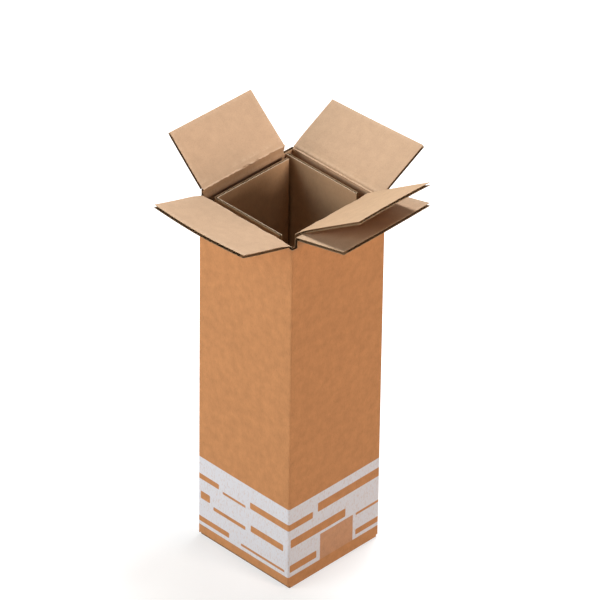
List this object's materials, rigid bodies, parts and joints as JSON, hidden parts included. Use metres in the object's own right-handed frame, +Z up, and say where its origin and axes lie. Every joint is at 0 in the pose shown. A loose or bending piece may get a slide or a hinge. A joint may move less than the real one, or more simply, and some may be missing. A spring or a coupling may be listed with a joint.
{
  "type": "bottle shipping box",
  "caption": "Tall square corrugated carton for one bottle, open at the top, with folded flaps and an upright insert sleeve whose lid leaf is folded out.",
  "frame": {"origin": "centre of the carton's base, on the floor", "axes": "+Z up along the carton's height, -Y towards the wall under the insert's lid, +X towards the right inner flap"},
  "size_m": [0.2512, 0.2525, 0.4796],
  "materials": {
    "kraft_board": "matt kraft corrugated board with a pale printed band near the foot",
    "insert_board": "matt kraft corrugated board, unprinted"
  },
  "bodies": {
    "box": {"carton": "kraft_board", "insert": "insert_board"},
    "front_flap": {"flap_front": "kraft_board"},
    "back_flap": {"flap_back": "kraft_board"}
  },
  "joints": [
    {"name": "front_flap_score", "type": "hinge", "parent": "box", "child": "front_flap", "pos_m": [0, -0.065, 0.424], "axis": [-1, 0, 0], "range_deg": [-84, 8]},
    {"name": "back_flap_score", "type": "hinge", "parent": "box", "child": "back_flap", "pos_m": [0, 0.065, 0.424], "axis": [1, 0, 0], "range_deg": [-112, 137.5]}
  ]
}
